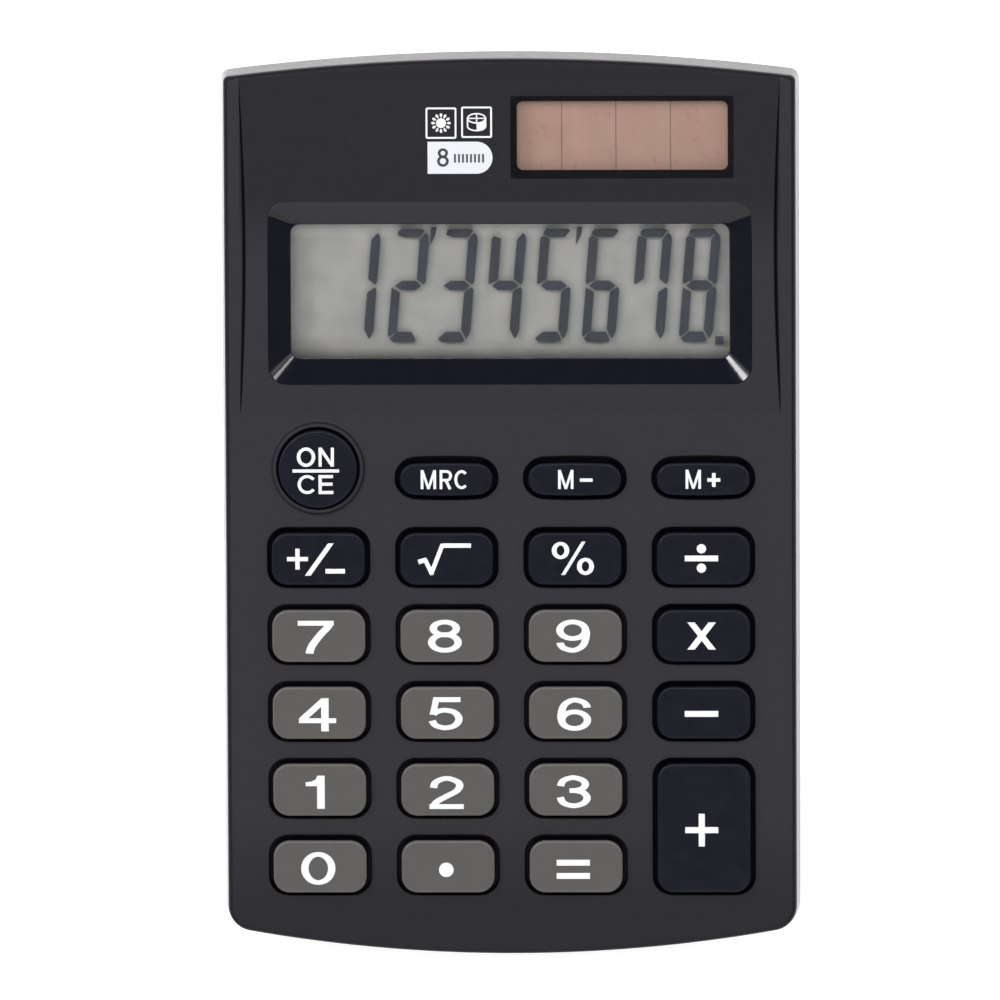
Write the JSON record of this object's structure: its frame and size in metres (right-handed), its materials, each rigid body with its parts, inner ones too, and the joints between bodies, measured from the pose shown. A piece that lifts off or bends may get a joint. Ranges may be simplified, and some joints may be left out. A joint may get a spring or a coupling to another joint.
{
  "type": "pocket calculator",
  "caption": "Slim handheld calculator with a digit display, solar strip, raised push keys and a sliding battery door on its back",
  "frame": {"origin": "under the middle of the flat back, on the surface it lies on", "axes": "+Z out of the keys, +Y towards the display end, +X to the right when read"},
  "size_m": [0.062, 0.0978, 0.0102],
  "materials": {
    "case_plastic": "fine matte texture",
    "gloss_plastic": "polished",
    "key_black": "satin",
    "key_grey": "satin",
    "clear_window": "clear acrylic",
    "polarizer_film": "tinted film",
    "lcd_glass": "thin flat glass",
    "reflector_film": "satin grey-green reflector",
    "zebra_rubber": "striped silicone",
    "inner_plastic": "plain moulded",
    "screw_steel": "plated",
    "solar_glass": "brown cells behind glass",
    "mat_silicone": "milky silicone",
    "board_laminate": "paper laminate",
    "epoxy": "cured drop",
    "capacitor_sleeve": "shrink sleeve",
    "ceramic": "dipped",
    "diode_glass": "glazed",
    "resistor_lacquer": "lacquered",
    "cell_steel": "nickel-plated",
    "contact_steel": "nickel-plated spring",
    "wire_red": "insulation",
    "wire_black": "insulation"
  },
  "bodies": {
    "housing": {"front_shell": "case_plastic", "rear_shell": "case_plastic", "display_bezel": "gloss_plastic", "display_window": "clear_window", "lcd_front_polarizer": "polarizer_film", "lcd_front_glass": "lcd_glass", "lcd_rear_glass": "lcd_glass", "lcd_reflector": "reflector_film", "zebra_strip": "zebra_rubber", "lcd_retainer": "inner_plastic", "retainer_screw_left": "screw_steel", "retainer_screw_right": "screw_steel", "board_screw_left": "screw_steel", "board_screw_right": "screw_steel", "case_screw_top_left": "screw_steel", "case_screw_top_right": "screw_steel", "case_screw_bottom_left": "screw_steel", "case_screw_bottom_right": "screw_steel", "solar_cell": "solar_glass", "keypad_mat": "mat_silicone", "circuit_board": "board_laminate", "chip_cover": "epoxy", "electrolytic_capacitor": "capacitor_sleeve", "ceramic_capacitor": "ceramic", "clamp_diode": "diode_glass", "resistor": "resistor_lacquer", "button_cell": "cell_steel", "positive_contact": "contact_steel", "negative_contact": "contact_steel", "battery_lead_red": "wire_red", "solar_lead_red": "wire_red", "battery_lead_black": "wire_black", "solar_lead_black": "wire_black"},
    "battery_door": {"battery_door": "case_plastic"},
    "key_on_clear": {"key_on_clear": "key_black"},
    "key_memory_recall": {"key_memory_recall": "key_black"},
    "key_memory_minus": {"key_memory_minus": "key_black"},
    "key_memory_plus": {"key_memory_plus": "key_black"},
    "key_sign_change": {"key_sign_change": "key_black"},
    "key_square_root": {"key_square_root": "key_black"},
    "key_percent": {"key_percent": "key_black"},
    "key_divide": {"key_divide": "key_black"},
    "key_7": {"key_7": "key_grey"},
    "key_8": {"key_8": "key_grey"},
    "key_9": {"key_9": "key_grey"},
    "key_multiply": {"key_multiply": "key_black"},
    "key_4": {"key_4": "key_grey"},
    "key_5": {"key_5": "key_grey"},
    "key_6": {"key_6": "key_grey"},
    "key_minus": {"key_minus": "key_black"},
    "key_1": {"key_1": "key_grey"},
    "key_2": {"key_2": "key_grey"},
    "key_3": {"key_3": "key_grey"},
    "key_plus": {"key_plus": "key_black"},
    "key_0": {"key_0": "key_grey"},
    "key_point": {"key_point": "key_grey"},
    "key_equals": {"key_equals": "key_grey"}
  },
  "joints": [
    {"name": "press_on_clear", "type": "slide", "parent": "housing", "child": "key_on_clear", "axis": [0, 0, -1], "range_m": [0, 0.001], "stiffness_N_per_m": 600, "springref_m": -0.0005, "deforming": ["keypad_mat"]},
    {"name": "press_memory_recall", "type": "slide", "parent": "housing", "child": "key_memory_recall", "axis": [0, 0, -1], "range_m": [0, 0.001], "stiffness_N_per_m": 600, "springref_m": -0.0005, "deforming": ["keypad_mat"]},
    {"name": "press_memory_minus", "type": "slide", "parent": "housing", "child": "key_memory_minus", "axis": [0, 0, -1], "range_m": [0, 0.001], "stiffness_N_per_m": 600, "springref_m": -0.0005, "deforming": ["keypad_mat"]},
    {"name": "press_memory_plus", "type": "slide", "parent": "housing", "child": "key_memory_plus", "axis": [0, 0, -1], "range_m": [0, 0.001], "stiffness_N_per_m": 600, "springref_m": -0.0005, "deforming": ["keypad_mat"]},
    {"name": "press_sign_change", "type": "slide", "parent": "housing", "child": "key_sign_change", "axis": [0, 0, -1], "range_m": [0, 0.001], "stiffness_N_per_m": 600, "springref_m": -0.0005, "deforming": ["keypad_mat"]},
    {"name": "press_square_root", "type": "slide", "parent": "housing", "child": "key_square_root", "axis": [0, 0, -1], "range_m": [0, 0.001], "stiffness_N_per_m": 600, "springref_m": -0.0005, "deforming": ["keypad_mat"]},
    {"name": "press_percent", "type": "slide", "parent": "housing", "child": "key_percent", "axis": [0, 0, -1], "range_m": [0, 0.001], "stiffness_N_per_m": 600, "springref_m": -0.0005, "deforming": ["keypad_mat"]},
    {"name": "press_divide", "type": "slide", "parent": "housing", "child": "key_divide", "axis": [0, 0, -1], "range_m": [0, 0.001], "stiffness_N_per_m": 600, "springref_m": -0.0005, "deforming": ["keypad_mat"]},
    {"name": "press_7", "type": "slide", "parent": "housing", "child": "key_7", "axis": [0, 0, -1], "range_m": [0, 0.001], "stiffness_N_per_m": 600, "springref_m": -0.0005, "deforming": ["keypad_mat"]},
    {"name": "press_8", "type": "slide", "parent": "housing", "child": "key_8", "axis": [0, 0, -1], "range_m": [0, 0.001], "stiffness_N_per_m": 600, "springref_m": -0.0005, "deforming": ["keypad_mat"]},
    {"name": "press_9", "type": "slide", "parent": "housing", "child": "key_9", "axis": [0, 0, -1], "range_m": [0, 0.001], "stiffness_N_per_m": 600, "springref_m": -0.0005, "deforming": ["keypad_mat"]},
    {"name": "press_multiply", "type": "slide", "parent": "housing", "child": "key_multiply", "axis": [0, 0, -1], "range_m": [0, 0.001], "stiffness_N_per_m": 600, "springref_m": -0.0005, "deforming": ["keypad_mat"]},
    {"name": "press_4", "type": "slide", "parent": "housing", "child": "key_4", "axis": [0, 0, -1], "range_m": [0, 0.001], "stiffness_N_per_m": 600, "springref_m": -0.0005, "deforming": ["keypad_mat"]},
    {"name": "press_5", "type": "slide", "parent": "housing", "child": "key_5", "axis": [0, 0, -1], "range_m": [0, 0.001], "stiffness_N_per_m": 600, "springref_m": -0.0005, "deforming": ["keypad_mat"]},
    {"name": "press_6", "type": "slide", "parent": "housing", "child": "key_6", "axis": [0, 0, -1], "range_m": [0, 0.001], "stiffness_N_per_m": 600, "springref_m": -0.0005, "deforming": ["keypad_mat"]},
    {"name": "press_minus", "type": "slide", "parent": "housing", "child": "key_minus", "axis": [0, 0, -1], "range_m": [0, 0.001], "stiffness_N_per_m": 600, "springref_m": -0.0005, "deforming": ["keypad_mat"]},
    {"name": "press_1", "type": "slide", "parent": "housing", "child": "key_1", "axis": [0, 0, -1], "range_m": [0, 0.001], "stiffness_N_per_m": 600, "springref_m": -0.0005, "deforming": ["keypad_mat"]},
    {"name": "press_2", "type": "slide", "parent": "housing", "child": "key_2", "axis": [0, 0, -1], "range_m": [0, 0.001], "stiffness_N_per_m": 600, "springref_m": -0.0005, "deforming": ["keypad_mat"]},
    {"name": "press_3", "type": "slide", "parent": "housing", "child": "key_3", "axis": [0, 0, -1], "range_m": [0, 0.001], "stiffness_N_per_m": 600, "springref_m": -0.0005, "deforming": ["keypad_mat"]},
    {"name": "press_plus", "type": "slide", "parent": "housing", "child": "key_plus", "axis": [0, 0, -1], "range_m": [0, 0.001], "stiffness_N_per_m": 600, "springref_m": -0.0005, "deforming": ["keypad_mat"]},
    {"name": "press_0", "type": "slide", "parent": "housing", "child": "key_0", "axis": [0, 0, -1], "range_m": [0, 0.001], "stiffness_N_per_m": 600, "springref_m": -0.0005, "deforming": ["keypad_mat"]},
    {"name": "press_point", "type": "slide", "parent": "housing", "child": "key_point", "axis": [0, 0, -1], "range_m": [0, 0.001], "stiffness_N_per_m": 600, "springref_m": -0.0005, "deforming": ["keypad_mat"]},
    {"name": "press_equals", "type": "slide", "parent": "housing", "child": "key_equals", "axis": [0, 0, -1], "range_m": [0, 0.001], "stiffness_N_per_m": 600, "springref_m": -0.0005, "deforming": ["keypad_mat"]},
    {"name": "battery_door_slide", "type": "slide", "parent": "housing", "child": "battery_door", "axis": [0, 1, 0], "range_m": [0, 0.019]}
  ]
}
